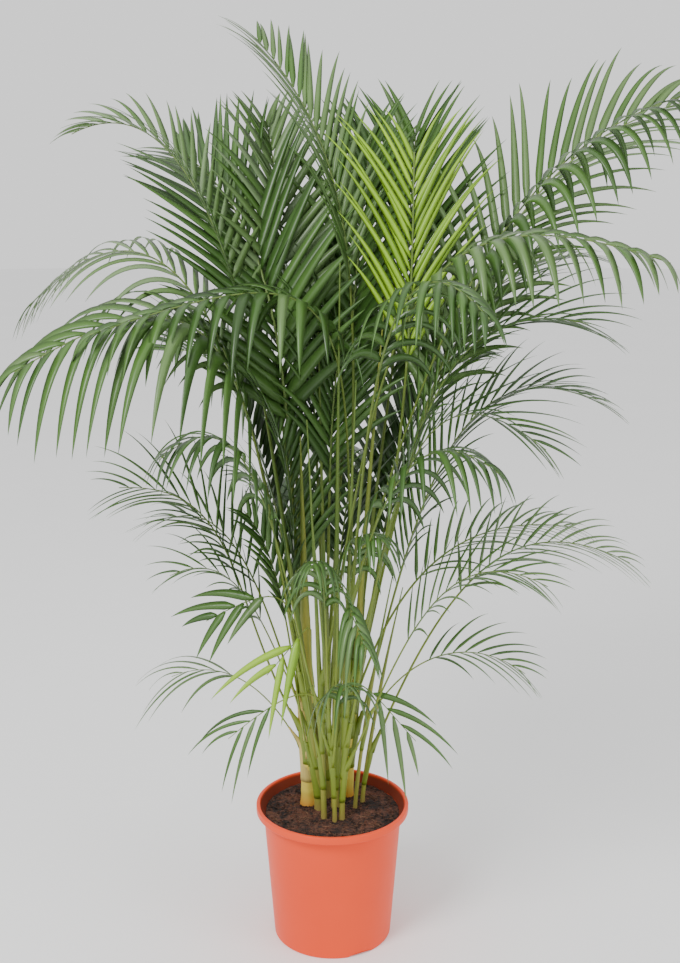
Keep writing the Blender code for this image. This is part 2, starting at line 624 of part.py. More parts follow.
def make_frond(frond, blade, leaflets, material):
    """A rib and its leaflets as one solid, or as two where it bends round a wide gap."""
    name = "frond_" + frond.name
    last = len(blade.stations) - 1
    if frond.droop - frond.lean < SPLIT_TURN or frond.reach < SPLIT_REACH:
        add_object(name, *frond_shape(blade, leaflets, 0, last), material, smooth=False)
        return
    bend = bend_station(frond, blade)
    if blade.segments[bend - 1] is not None:
        bend += 1
    add_object(name, *frond_shape(blade, leaflets, 0, bend), material, smooth=False)
    cut = blade.stations[bend]
    stations = list(blade.stations)
    stations[bend] = cut._replace(centre=cut.centre + CLEARANCE * cut.along)
    outer = blade._replace(stations=stations)
    add_object(name + "_end", *frond_shape(outer, leaflets, bend, last), material, smooth=False)


def main():
    clear_scene()
    materials = {tone: make_material(tone) for tone in TONES}
    make_pot(materials["pot"])
    make_soil(materials["soil"])
    growth = Growth()
    for cane in CANES:
        mesh = make_cane(cane, materials[cane.tone]).data
        growth.add(cane.name, [v.co for v in mesh.vertices], [f.vertices for f in mesh.polygons])
    blades = {frond.name: plan_blade(frond) for frond in FRONDS}
    for name, blade in blades.items():
        growth.add((name, "rib"), *frond_shape(blade, {}, 0, len(blade.stations) - 1, SWELL))
    for frond in FRONDS:
        blade = blades[frond.name]
        make_frond(frond, blade, grow_leaflets(frond, blade, growth), materials[frond.tone])


main()
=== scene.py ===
# %% [markdown]
# A potted areca palm
#
# An areca palm is a clump of slim ringed canes. Each cane carries a few arching fronds, and each
# frond has a rib with two rows of narrow leaflets. The plain solids of the palm are loaded first.
# They fix where the canes stand and how each frond arches. Everything below is then grown on the
# same curves with finer leaflets, and gets its finish from nodes.

# %% Load the frame
import math
import random
from collections import namedtuple

import bpy
import numpy as np
from mathutils import Matrix, Vector, noise


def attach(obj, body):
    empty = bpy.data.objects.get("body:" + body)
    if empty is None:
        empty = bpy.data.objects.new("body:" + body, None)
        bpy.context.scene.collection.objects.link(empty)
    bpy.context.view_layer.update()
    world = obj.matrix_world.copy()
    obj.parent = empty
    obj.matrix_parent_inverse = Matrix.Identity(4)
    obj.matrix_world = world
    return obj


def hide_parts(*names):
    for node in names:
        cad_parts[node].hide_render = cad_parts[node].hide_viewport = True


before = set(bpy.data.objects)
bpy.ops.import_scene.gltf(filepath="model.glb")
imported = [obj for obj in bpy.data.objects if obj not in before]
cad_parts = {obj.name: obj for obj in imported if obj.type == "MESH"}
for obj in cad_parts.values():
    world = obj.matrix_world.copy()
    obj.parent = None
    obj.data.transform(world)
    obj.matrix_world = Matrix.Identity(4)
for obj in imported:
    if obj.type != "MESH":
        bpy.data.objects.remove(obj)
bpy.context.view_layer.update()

# %% [markdown]
# Shader maths as Python
#
# A finish is a small sum: a bit of noise times a depth, plus a base value. Wiring such sums node by
# node hides them, so a socket is wrapped in a class whose operators add the Math nodes. Then
# `0.3 + 0.2 * cloud` reads as what it does. Colours are mixed by a Mix node, as a Math node would
# turn them grey.

# %% A socket with operators, and a material to paint with


class Wire:
    """A number that varies over a surface."""

    def __init__(self, paint, socket):
        self.paint = paint
        self.socket = socket

    def maths(self, operation, *values):
        return self.paint.node("ShaderNodeMath", {"operation": operation}, dict(enumerate(values)))

    def __add__(self, other):
        return self.maths("ADD", self, other)

    def __sub__(self, other):
        return self.maths("SUBTRACT", self, other)

    def __rsub__(self, other):
        return self.maths("SUBTRACT", other, self)

    def __mul__(self, other):
        return self.maths("MULTIPLY", self, other)

    __radd__ = __add__
    __rmul__ = __mul__


class Paint:
    """A material that is built node by node."""

    def __init__(self, name, **constants):
        self.material = bpy.data.materials.new(name)
        self.material.use_nodes = True
        self.tree = self.material.node_tree
        self.shader = self.tree.nodes["Principled BSDF"]
        for socket, value in constants.items():
            self.shader.inputs[socket.replace("_", " ")].default_value = value

    def plug(self, socket, value):
        """A value is set on the socket, and a wire is linked to it."""
        if isinstance(value, Wire):
            self.tree.links.new(value.socket, socket)
        else:
            socket.default_value = value

    def node(self, kind, settings=None, sockets=None, output=0):
        """Adds a node, with its settings first, then its sockets, and gives one of its outputs."""
        node = self.tree.nodes.new(kind)
        for name, value in (settings or {}).items():
            if name == "stops":
                self.set_stops(node.color_ramp, value)
            else:
                setattr(node, name, value)
        for name, value in (sockets or {}).items():
            self.plug(node.inputs[name], value)
        return Wire(self, node.outputs[output])

    @staticmethod
    def set_stops(ramp, stops):
        while len(ramp.elements) < len(stops):
            ramp.elements.new(1)
        for element, (position, colour) in zip(ramp.elements, stops):
            element.position = position
            element.color = (*colour, 1)

    def place(self, scale=(1, 1, 1)):
        """Coordinates that stay with the object, stretched along each axis."""
        where = self.node("ShaderNodeTexCoord", output="Object")
        return self.node("ShaderNodeMapping", {}, {"Vector": where, "Scale": scale})

    def cloud(self, scale, detail=3, roughness=0.55, stretch=(1, 1, 1)):
        """Soft noise from 0 to 1, with features about 1 / scale across."""
        sockets = {"Vector": self.place(stretch), "Scale": scale, "Detail": detail, "Roughness": roughness}
        return self.node("ShaderNodeTexNoise", {}, sockets)

    def blend(self, factor, first, second):
        """A colour between two others."""
        settings = {"data_type": "RGBA", "clamp_factor": True}
        ends = {0: factor, 6: (*first, 1), 7: (*second, 1)} if not isinstance(first, Wire) else None
        ends = ends or {0: factor, 6: first, 7: (*second, 1)}
        return self.node("ShaderNodeMix", settings, ends, output=2)

    def ramp(self, factor, *stops):
        return self.node("ShaderNodeValToRGB", {"stops": stops}, {"Fac": factor})

    def bump(self, height, distance, strength=1.0):
        sockets = {"Height": height, "Distance": distance, "Strength": strength}
        self.plug(self.shader.inputs["Normal"], self.node("ShaderNodeBump", {}, sockets))

    def feed(self, socket, value):
        self.plug(self.shader.inputs[socket], value)


# %% [markdown]
# Leaf finishes
#
# A palm leaflet is a waxy blade. It shines where it bends over, and looks deep green elsewhere.
# Young fronds are lime. A picture of a leaf isn't needed: each frond gets one plain tone, and a
# faint cloud keeps it from being flat. The tones are partly the fronds' own colour and partly
# painted light. Fronds at the back, in the middle and on the right get darker greens, a painted
# shade. Upper, outer and left-hand fronds get paler grey-greens, a painted sheen. The cloud mixes
# each tone with a brighter copy of itself, which is painted light in patches.

# %% Leaf, stalk and rib materials

# Greens from deepest to palest, as fronds take them from inside the clump outwards: the deep end is painted
# shade, and the palest three are greyed as a painted sheen.
GREENS = [
    (0.012, 0.031, 0.005),
    (0.020, 0.051, 0.008),
    (0.031, 0.077, 0.012),
    (0.048, 0.110, 0.018),
    (0.078, 0.142, 0.040),
    (0.118, 0.186, 0.078),
    (0.175, 0.245, 0.140),
]
LIMES = [(0.140, 0.265, 0.012), (0.180, 0.325, 0.016), (0.225, 0.385, 0.022)]
LIT = 1.6
SHADED_STALK = (0.060, 0.105, 0.012)


def make_leaf_material(name, shade):
    paint = Paint(name, Coat_Weight=0.10, Coat_Roughness=0.20, Specular_IOR_Level=0.45)
    patches = paint.cloud(14, detail=2)
    # painted light: each tone is mixed in cloudy patches with a copy LIT times brighter
    paint.feed("Base Color", paint.blend(patches, shade, [LIT * part for part in shade]))
    paint.feed("Roughness", 0.32 + 0.16 * patches)
    paint.bump(paint.cloud(420, detail=1), 0.0002, 0.3)
    return paint.material


def make_stalk_material(name, dull, fresh, shading):
    """Painted shade: its colour deepens, by a share, towards SHADED_STALK from where the clump closes round it
    and shades it.
    """
    paint = Paint(name, Coat_Weight=0.04, Coat_Roughness=0.3)
    height = paint.node("ShaderNodeSeparateXYZ", {}, {"Vector": paint.place()}, output="Z")
    inside = paint.node("ShaderNodeMapRange", {}, {"Value": height, "From Min": 0.42, "From Max": 0.70})
    streaks = paint.cloud(60, stretch=(1, 1, 0.12))
    lit = paint.blend(streaks, dull, fresh)
    paint.feed("Base Color", paint.blend(shading * inside, lit, SHADED_STALK))
    paint.feed("Roughness", 0.38 + 0.2 * streaks)
    paint.bump(streaks, 0.0003, 0.5)
    return paint.material


MATERIALS = {}
for step, tone in enumerate(GREENS):
    MATERIALS[f"green_{step}"] = make_leaf_material(f"green_{step}", tone)
for step, tone in enumerate(LIMES):
    MATERIALS[f"lime_{step}"] = make_leaf_material(f"lime_{step}", tone)
MATERIALS["stalk"] = make_stalk_material("stalk", (0.100, 0.165, 0.010), (0.220, 0.275, 0.022), 0.65)
MATERIALS["rib"] = make_stalk_material("rib", (0.070, 0.135, 0.018), (0.150, 0.215, 0.040), 0)
print("leaf and stalk materials:", sorted(MATERIALS))

# %% [markdown]
# Canes, peat and pot finishes
#
# The canes are smooth and ringed: yellow where they are ripe, green where they are young, brown and
# fibrous at the soil. The pot is moulded plastic with a satin skin. The peat is dark and matt with
# paler fibres.

# %% Cane, peat and pot materials

SOIL_LEVEL = 0.205
INNER_SHADE_SLOPE = 0.43


def make_cane_material(name, low, high, foot):
    paint = Paint(name, Coat_Weight=0.08, Coat_Roughness=0.35)
    height = paint.node("ShaderNodeSeparateXYZ", {}, {"Vector": paint.place()}, output="Z")
    grain = paint.cloud(90, stretch=(1, 1, 0.08))
    blotch = paint.cloud(22, detail=4)
    rise = paint.node("ShaderNodeMapRange", {}, {"Value": height, "From Min": 0.28, "From Max": 0.55})
    green = paint.blend(rise + 1.3 * (grain - 0.5) + 0.3 * (blotch - 0.5), low, high)
    settled = {"Value": height, "From Min": SOIL_LEVEL, "From Max": SOIL_LEVEL + 0.022}
    above_soil = paint.node("ShaderNodeMapRange", {}, settled)
    foot_mask = 1 - above_soil + 0.3 * (blotch - 0.5)
    paint.feed("Base Color", paint.blend(foot_mask, green, foot))
    paint.feed("Roughness", 0.42 + 0.25 * grain)
    paint.bump(grain, 0.0004, 0.6)
    return paint.material


def make_sheath_material():
    paint = Paint("sheath")
    grain = paint.cloud(120, stretch=(1, 1, 0.06))
    stops = (0.3, (0.40, 0.300, 0.080)), (0.55, (0.56, 0.450, 0.130)), (0.8, (0.68, 0.580, 0.22))
    paint.feed("Base Color", paint.ramp(grain, *stops))
    paint.feed("Roughness", 0.6 + 0.25 * grain)
    paint.bump(grain, 0.0008, 0.8)
    return paint.material


def make_pot_material():
    """Satin plastic, with painted shade, a dark brown, on the wall's inside below the lip's edge."""
    paint = Paint("pot", Coat_Weight=0.03, Coat_Roughness=0.30, Specular_IOR_Level=0.2)
    clouds = paint.cloud(9, detail=4)
    unshaded = paint.blend(clouds, (0.76, 0.058, 0.012), (0.84, 0.078, 0.018))
    place = paint.node("ShaderNodeTexCoord", output="Object")
    height = paint.node("ShaderNodeSeparateXYZ", {}, {"Vector": place}, output="Z")
    flat = paint.node("ShaderNodeVectorMath", {"operation": "MULTIPLY"}, {0: place, 1: (1, 1, 0)})
    radius = paint.node("ShaderNodeVectorMath", {"operation": "LENGTH"}, {0: flat}, output="Value")
    edge = {"Value": radius - INNER_SHADE_SLOPE * height, "From Min": 0.0216, "From Max": 0.0208}
    inside = paint.node("ShaderNodeMapRange", {}, edge)
    below_lip = paint.node("ShaderNodeMapRange", {}, {"Value": height, "From Min": 0.2195, "From Max": 0.2160})
    above_step = paint.node("ShaderNodeMath", {"operation": "GREATER_THAN"}, {0: height, 1: 0.2045})
    # painted shade: the wall's inside below the lip turns dark brown, where the rim shades it
    inner_wall_shade = 0.9 * inside * below_lip * above_step
    paint.feed("Base Color", paint.blend(inner_wall_shade, unshaded, (0.115, 0.022, 0.010)))
    paint.feed("Roughness", 0.36 + 0.12 * paint.cloud(40) + 0.3 * inner_wall_shade)
    paint.bump(paint.cloud(900, detail=1), 0.0001, 0.25)
    return paint.material


def make_peat_material(name, dark, pale):
    paint = Paint(name)
    crumbs = paint.cloud(170, detail=6, roughness=0.7)
    drier = paint.cloud(30, detail=2)
    paint.feed("Base Color", paint.ramp(crumbs + 0.6 * (drier - 0.5), (0.42, dark), (0.68, pale)))
    paint.feed("Roughness", 0.88 + 0.1 * crumbs)
    paint.bump(crumbs, 0.002, 1.0)
    return paint.material


CANE_ENDS = {
    "cane_ripe": ((0.700, 0.560, 0.080), (0.160, 0.215, 0.025), (0.600, 0.270, 0.030)),
    "cane_green": ((0.250, 0.255, 0.034), (0.090, 0.155, 0.018), (0.250, 0.190, 0.045)),
}
for name, ends in CANE_ENDS.items():
    MATERIALS[name] = make_cane_material(name, *ends)
MATERIALS["sheath"] = make_sheath_material()
MATERIALS["pot"] = make_pot_material()
MATERIALS["peat"] = make_peat_material("peat", (0.008, 0.0026, 0.0015), (0.130, 0.046, 0.024))
MATERIALS["fibre"] = make_peat_material("fibre", (0.07, 0.030, 0.016), (0.24, 0.12, 0.066))
print("materials in all:", len(MATERIALS))

# %% [markdown]
# From points to a piece
#
# Thousands of leaflets as objects of their own would be slow. Each kind is written into one list of
# points and faces instead, and becomes one mesh at the end. A piece says which solids it stands for.

# %% A growing mesh, and a tube along a course

UP = Vector((0, 0, 1))


def slanted(azimuth, slant):
    """The direction at a slant from upright, towards an azimuth."""
    turn, tilt = math.radians(azimuth), math.radians(slant)
    return Vector((math.cos(turn) * math.sin(tilt), math.sin(turn) * math.sin(tilt), math.cos(tilt)))


class Piece:
    """Points and faces of one kind, joined."""

    def __init__(self, name, material, slot, smooth=True):
        self.name, self.material, self.slot, self.smooth = name, material, slot, smooth
        self.points, self.faces = [], []

    def add(self, points, faces):
        base = len(self.points)
        self.points += [tuple(point) for point in points]
        self.faces += [tuple(base + corner for corner in face) for face in faces]

    def finish(self, *nodes):
        mesh = bpy.data.meshes.new(self.name)
        mesh.from_pydata(self.points, [], self.faces)
        mesh.materials.append(MATERIALS[self.material])
        if self.smooth:
            mesh.shade_smooth()
        piece = bpy.data.objects.new(self.name, mesh)
        bpy.context.scene.collection.objects.link(piece)
        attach(piece, "root")
        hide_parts(*nodes)
        print(self.name, "faces:", len(self.faces))
        return piece


def tube(rings):
    """A closed skin over rings of as many points each, with flat ends."""
    sides = len(rings[0])
    points = [point for ring in rings for point in ring]
    faces = [tuple(reversed(range(sides)))]
    for row in range(len(rings) - 1):
        for side in range(sides):
            one, two = row * sides + side, row * sides + (side + 1) % sides
            faces.append((one, two, two + sides, one + sides))
    faces.append(tuple(range(len(points) - sides, len(points))))
    return points, faces


# %% [markdown]
# The canes
#
# Each cane leaves the peat upright and leans outward as it rises. It is smooth between rings, and a
# ring is the scar of a leaf that has dropped: a fine ridge with a slight swelling under it. The
# table repeats the places and radii of the solids, and the rings are modelled, not painted.

# %% Where the canes stand

Cane = namedtuple("Cane", "name x y foot_radius tip_x tip_y tip_z tip_radius spear_z tone")
CANES = [
    Cane("thick", -0.038, 0.026, 0.0120, -0.042, 0.032, 0.50, 0.0085, 0.80, "cane_ripe"),
    Cane("front", -0.013, -0.027, 0.0045, -0.020, -0.030, 0.46, 0.0038, 0.84, "cane_green"),
    Cane("back", -0.008, 0.046, 0.0055, -0.012, 0.059, 0.50, 0.0045, 0.96, "cane_green"),
    Cane("pair_1", 0.004, -0.037, 0.0035, -0.007, -0.049, 0.42, 0.0030, 0.72, "cane_green"),
    Cane("pair_2", 0.015, -0.031, 0.0045, 0.021, -0.037, 0.48, 0.0038, 0.90, "cane_green"),
    Cane("right", 0.027, 0.050, 0.0065, 0.043, 0.064, 0.52, 0.0052, 1.00, "cane_ripe"),
    Cane("centre", 0.004, 0.012, 0.0060, 0.006, 0.015, 0.50, 0.0048, 1.06, "cane_green"),
    Cane("slim_1", 0.036, 0.006, 0.0032, 0.062, 0.004, 0.42, 0.0028, 0.60, "cane_green"),
    Cane("slim_2", 0.048, 0.028, 0.0035, 0.080, 0.036, 0.42, 0.0028, 0.56, "cane_green"),
    Cane("left_back", -0.022, 0.056, 0.0055, -0.044, 0.076, 0.50, 0.0045, 0.94, "cane_green"),
    Cane("left", -0.022, 0.004, 0.0060, -0.050, 0.001, 0.50, 0.0048, 0.86, "cane_green"),
]
CANE_SIDES = 20
CANE_STEP = 0.004
CANE_LEAN_GROWTH = 1.3
CANE_FLARE = 1.15
CANE_FLARE_HEIGHT = 0.02
SPEAR_TIP_RADIUS = 0.0008
RING_SPACING = 0.052
RING_WIDTH = 0.0035
RING_RISE = 0.06
THICK_CANE = 0.009


def cane_section(cane, height):
    """Centre and radius of a cane at a height, without its rings."""
    share = max(0, (height - SOIL_LEVEL) / (cane.tip_z - SOIL_LEVEL))
    drift = share**CANE_LEAN_GROWTH
    x = cane.x + (cane.tip_x - cane.x) * drift
    y = cane.y + (cane.tip_y - cane.y) * drift
    flare = max(0, 1 - (height - SOIL_LEVEL) / CANE_FLARE_HEIGHT) ** 2
    body = cane.foot_radius + (cane.tip_radius - cane.foot_radius) * share
    return Vector((x, y, height)), body * (1 + (CANE_FLARE - 1) * flare)


def spear_radius(cane, height):
    """Radius of the rolled-up frond on a cane's tip."""
    share = (height - cane.tip_z) / (cane.spear_z - cane.tip_z)
    return cane.tip_radius + (SPEAR_TIP_RADIUS - cane.tip_radius) * share**0.8


def ring_heights(cane):
    """Leaf scars, spaced RING_SPACING apart give or take a quarter, at random."""
    chance = random.Random(cane.name)
    heights = [SOIL_LEVEL + 0.02 + chance.uniform(0, 0.02)]
    while heights[-1] < cane.tip_z:
        heights.append(heights[-1] + RING_SPACING * chance.uniform(0.75, 1.25))
    return heights


def make_cane(cane, piece):
    scars = ring_heights(cane)
    steps = math.ceil((cane.spear_z - SOIL_LEVEL) / CANE_STEP)
    rings = []
    for step in range(steps + 1):
        height = SOIL_LEVEL - 0.004 + (cane.spear_z - SOIL_LEVEL + 0.004) * step / steps
        centre, radius = cane_section(cane, height)
        if height > cane.tip_z:
            radius = spear_radius(cane, height)
        near = min(abs(height - scar) for scar in scars)
        rise = RING_RISE * min(1, (cane.foot_radius / THICK_CANE) ** 2)
        radius *= 1 + rise * math.exp(-((near / RING_WIDTH) ** 2))
        turns = range(0, 360, 360 // CANE_SIDES)
        rings.append([centre + radius * slanted(turn, 90) for turn in turns])
    piece.add(*tube(rings))


def make_canes():
    for tone in ("cane_ripe", "cane_green"):
        members = [cane for cane in CANES if cane.tone == tone]
        piece = Piece(tone + "s", tone, tone)
        for cane in members:
            make_cane(cane, piece)
        piece.finish(*["cane_" + cane.name for cane in members])


make_canes()

# %% [markdown]
# How a frond arches
#
# A frond is held up by its rib. The rib leaves its cane nearly upright, bows over under its own
# weight, and ends drooping, so one curve with four points in an upright plane is enough. The blade
# may roll to one side. The same table and the same curve shaped the solids.

# %% Where the fronds spring from, and their ribs

Habit = namedtuple("Habit", "spread lift weep width pitch")
HABITS = {
    "stiff": Habit(48, 24, 0.35, 0.0215, 0.0200),
    "plume": Habit(52, 26, 0.55, 0.0150, 0.0205),
    "open": Habit(52, 22, 0.70, 0.0170, 0.0245),
    "upright": Habit(30, 22, 0.45, 0.0140, 0.0200),
    "close": Habit(38, 28, 0.60, 0.0150, 0.0165),
    "fine": Habit(46, 18, 0.70, 0.0066, 0.0200),
    "slim": Habit(42, 14, 0.55, 0.0096, 0.0200),
    "drape": Habit(52, 4, 1.50, 0.0140, 0.0240),
    "nodding": Habit(54, 6, 2.60, 0.0165, 0.0250),
    "weeping": Habit(60, 10, 2.90, 0.0225, 0.0300),
    "hand": Habit(38, 4, 0.60, 0.0180, 0.0270),
    "finger": Habit(38, 4, 0.80, 0.0120, 0.0290),
    "wisp": Habit(34, 6, 1.40, 0.0078, 0.0260),
    "pair": Habit(30, 4, 0.70, 0.0175, 0.0400),
    "hanging": Habit(36, -8, 3.40, 0.0130, 0.0170),
}
Frond = namedtuple(
    "Frond", "name cane foot_z azimuth reach tip_z lean droop bow bare leaflet roll habit tone"
)
FRONDS = [
    Frond("top_1", "right", 0.42, 136, 0.21, 1.39, 2, 52, 0.51, 0.59, 0.18, 0, "upright", "leaf_dark"),
    Frond("top_2", "left_back", 0.44, 112, 0.17, 1.27, 11, 30, 0.38, 0.59, 0.18, 0, "stiff", "leaf_dark"),
    Frond("top_3", "back", 0.42, 66, 0.17, 1.25, 10, 16, 0.54, 0.53, 0.21, 0, "stiff", "leaf_dark"),
    Frond("top_4", "right", 0.49, 66, 0.22, 1.26, 16, 6, 0.45, 0.46, 0.25, 0, "stiff", "leaf_dark"),
    Frond("left_1", "left_back", 0.39, 174, 0.35, 1.24, 7, 118, 0.42, 0.52, 0.14, -12, "plume", "leaf_dark"),
    Frond("left_2", "thick", 0.42, 128, 0.33, 1.22, 4, 72, 0.52, 0.43, 0.24, -30, "stiff", "leaf_dark"),
    Frond("left_3", "left", 0.46, 170, 0.42, 0.98, 8, 136, 0.74, 0.46, 0.17, -14, "drape", "leaf_dark"),
    Frond("left_4", "left", 0.40, 206, 0.42, 0.93, 10, 118, 0.78, 0.50, 0.25, -24, "weeping", "leaf_dark"),
    Frond("front_1", "right", 0.36, 214, 0.42, 0.98, 0, 104, 0.87, 0.56, 0.17, -10, "weeping", "leaf_dark"),
    Frond("front_2", "pair_2", 0.38, 298, 0.36, 1.02, 5, 120, 0.59, 0.62, 0.14, 0, "nodding", "leaf_dark"),
    Frond("front_3", "front", 0.39, 205, 0.24, 0.80, 14, 128, 0.56, 0.55, 0.15, 0, "nodding", "leaf_dark"),
    Frond("front_4", "front", 0.37, 322, 0.30, 0.80, 14, 120, 0.54, 0.58, 0.15, 0, "nodding", "leaf_dark"),
    Frond("right_1", "front", 0.43, 331, 0.50, 1.08, 10, 107, 0.68, 0.58, 0.14, 10, "weeping", "leaf_dark"),
    Frond("right_2", "right", 0.46, 15, 0.56, 1.30, 13, 82, 0.48, 0.37, 0.23, 30, "open", "leaf_dark"),
    Frond("right_3", "centre", 0.36, 348, 0.36, 0.98, 16, 104, 0.51, 0.53, 0.22, 24, "slim", "leaf_dark"),
    Frond("right_4", "right", 0.40, 32, 0.45, 1.05, 14, 98, 0.50, 0.48, 0.18, 10, "slim", "leaf_dark"),
    Frond("right_5", "right", 0.31, 5, 0.38, 0.84, 14, 116, 0.58, 0.36, 0.18, 12, "slim", "leaf_dark"),
    Frond("right_6", "pair_2", 0.33, 335, 0.30, 0.82, 10, 126, 0.64, 0.54, 0.17, 12, "slim", "leaf_dark"),
    Frond("right_7", "centre", 0.47, 353, 0.52, 1.30, 14, 82, 0.44, 0.50, 0.15, 10, "weeping", "leaf_dark"),
    Frond("middle_1", "back", 0.47, 72, 0.14, 1.00, 6, 50, 0.48, 0.47, 0.20, 30, "close", "leaf_dark"),
    Frond("middle_2", "right", 0.42, 338, 0.08, 1.22, 12, 0, 0.45, 0.62, 0.22, -62, "upright", "leaf_young"),
    Frond("middle_3", "thick", 0.34, 150, 0.14, 0.92, 6, 60, 0.48, 0.38, 0.20, 0, "close", "leaf_dark"),
    Frond("back_1", "back", 0.36, 100, 0.38, 1.00, 10, 106, 0.50, 0.47, 0.22, 20, "close", "leaf_dark"),
    Frond("back_2", "right", 0.33, 58, 0.40, 0.86, 14, 110, 0.50, 0.38, 0.21, -25, "close", "leaf_dark"),
    Frond("back_3", "left_back", 0.33, 132, 0.38, 0.88, 10, 110, 0.50, 0.46, 0.21, 25, "close", "leaf_dark"),
    Frond("back_4", "back", 0.29, 78, 0.34, 0.70, 14, 112, 0.53, 0.47, 0.19, -20, "close", "leaf_dark"),
    Frond("back_5", "left_back", 0.29, 112, 0.34, 0.64, 14, 112, 0.53, 0.44, 0.18, 30, "close", "leaf_dark"),
    Frond("low_right_1", "slim_2", 0.29, 10, 0.42, 0.58, 22, 119, 0.62, 0.48, 0.15, 20, "fine", "leaf_light"),
    Frond("low_right_2", "centre", 0.29, 22, 0.42, 0.62, 14, 104, 0.58, 0.49, 0.14, 15, "fine", "leaf_dark"),
    Frond("low_right_3", "pair_2", 0.29, 345, 0.30, 0.61, 22, 116, 0.55, 0.47, 0.14, 20, "fine", "leaf_light"),
    Frond("low_right_4", "slim_1", 0.36, 355, 0.24, 0.44, 28, 128, 0.54, 0.45, 0.12, 20, "fine", "leaf_dark"),
    Frond("low_right_5", "centre", 0.31, 321, 0.15, 0.36, 9, 123, 1.07, 0.57, 0.13, 70, "finger", "leaf_dark"),
    Frond("low_left_1", "thick", 0.33, 186, 0.27, 0.73, 26, 92, 0.54, 0.53, 0.17, -30, "fine", "leaf_dark"),
    Frond("low_left_2", "left", 0.33, 162, 0.25, 0.65, 18, 122, 0.54, 0.53, 0.14, -20, "fine", "leaf_dark"),
    Frond("low_left_3", "thick", 0.37, 195, 0.20, 0.60, 22, 114, 0.52, 0.43, 0.13, -20, "fine", "leaf_dark"),
    Frond("low_left_4", "front", 0.31, 181, 0.17, 0.53, 11, 119, 0.92, 0.73, 0.11, -60, "hand", "leaf_dark"),
    Frond("low_left_5", "thick", 0.30, 188, 0.20, 0.43, 24, 112, 0.50, 0.58, 0.15, -10, "wisp", "leaf_light"),
    Frond("low_left_6", "pair_1", 0.39, 191, 0.15, 0.36, 13, 128, 0.51, 0.54, 0.13, -60, "wisp", "leaf_dark"),
    Frond("low_left_7", "left", 0.28, 190, 0.10, 0.70, 12, 40, 0.35, 0.56, 0.11, -50, "upright", "leaf_dark"),
    Frond("low_front_1", "pair_1", 0.36, 258, 0.12, 0.65, 10, 112, 0.50, 0.58, 0.10, 0, "hanging", "leaf_dark"),
    Frond("low_front_2", "pair_1", 0.30, 285, 0.10, 0.46, 16, 114, 0.50, 0.55, 0.12, 0, "hanging", "leaf_dark"),
    Frond("low_front_3", "pair_1", 0.32, 221, 0.12, 0.48, 19, 124, 1.26, 0.74, 0.14, -65, "pair", "leaf_young"),
    Frond("low_front_4", "centre", 0.38, 304, 0.12, 0.67, 14, 112, 0.50, 0.60, 0.11, 0, "hanging", "leaf_dark"),
    Frond("low_front_5", "pair_1", 0.33, 289, 0.15, 0.54, 12, 120, 1.22, 0.77, 0.10, 0, "hanging", "leaf_light"),
]
RIB_RADIUS = 0.0034
RIB_FULL_SPAN = 0.72
RIB_FOOT_FLARE = 1.8
RIB_TIP_SHARE = 0.30
RIB_CROWN = 0.3
RIB_SAMPLES = 96
BOW_AT_TIP = 0.72
CLEARANCE = 0.0003
SOLID_CANE_SIDES = 8
Station = namedtuple("Station", "centre along side normal radius")


def rib_radius(frond, share):
    span = math.hypot(frond.reach, frond.tip_z - frond.foot_z)
    stoutness = min(1, span / RIB_FULL_SPAN) ** 0.5
    flare = 1 + (RIB_FOOT_FLARE - 1) * max(0, 1 - share / 0.06) ** 2
    return RIB_RADIUS * stoutness * flare * (1 - (1 - RIB_TIP_SHARE) * share)


def frond_foot(frond):
    cane = next(one for one in CANES if one.name == frond.cane)
    centre, radius = cane_section(cane, frond.foot_z)
    half_side = 180 / SOLID_CANE_SIDES
    off_corner = (frond.azimuth + half_side) % (2 * half_side) - half_side
    to_side = radius * math.cos(math.radians(off_corner))
    stand_off = to_side + CLEARANCE + RIB_CROWN * rib_radius(frond, 0)
    return centre + stand_off * slanted(frond.azimuth, 90)


def bezier(ends, share):
    keep = 1 - share
    weights = (keep**3, 3 * keep**2 * share, 3 * keep * share**2, share**3)
    return sum((weight * end for weight, end in zip(weights, ends)), Vector((0, 0, 0)))


def frond_course(frond):
    """Points along the rib, and their distances from its foot."""
    foot = frond_foot(frond)
    tip = foot + frond.reach * slanted(frond.azimuth, 90) + (frond.tip_z - frond.foot_z) * UP
    held = frond.bow * (tip - foot).length
    ends = (
        foot,
        foot + held * slanted(frond.azimuth, frond.lean),
        tip - BOW_AT_TIP * held * slanted(frond.azimuth, frond.droop),
        tip,
    )
    points = [bezier(ends, step / RIB_SAMPLES) for step in range(RIB_SAMPLES + 1)]
    distances = [0.0]
    for one, two in zip(points, points[1:]):
        distances.append(distances[-1] + (two - one).length)
    return points, distances


def station_at(frond, course, distance):
    """The rib's centre, direction, right-hand side, upper side and radius, at a distance along it."""
    points, distances = course
    index = next(i for i, end in enumerate(distances[1:]) if end >= distance - 1e-9)
    part = (distance - distances[index]) / (distances[index + 1] - distances[index])
    along = (points[index + 1] - points[index]).normalized()
    share = distance / distances[-1]
    roll = math.radians(frond.roll) * min(1, share / frond.bare)
    side = Matrix.Rotation(roll, 3, along) @ slanted(frond.azimuth - 90, 90)
    centre = points[index].lerp(points[index + 1], part)
    return Station(centre, along, side, side.cross(along), rib_radius(frond, share))


print("fronds:", len(FRONDS))

# %% [markdown]
# Ribs and stalks
#
# The bare lower part of the rib is the stalk: smooth, yellow-green, rounded below and flatter above.
# It turns greener and thinner between the leaflets. Both are tubes of the same ten-sided section.

# %% Draw the stalks and ribs

RIB_SIDES = 10
RIB_STEP = 0.012


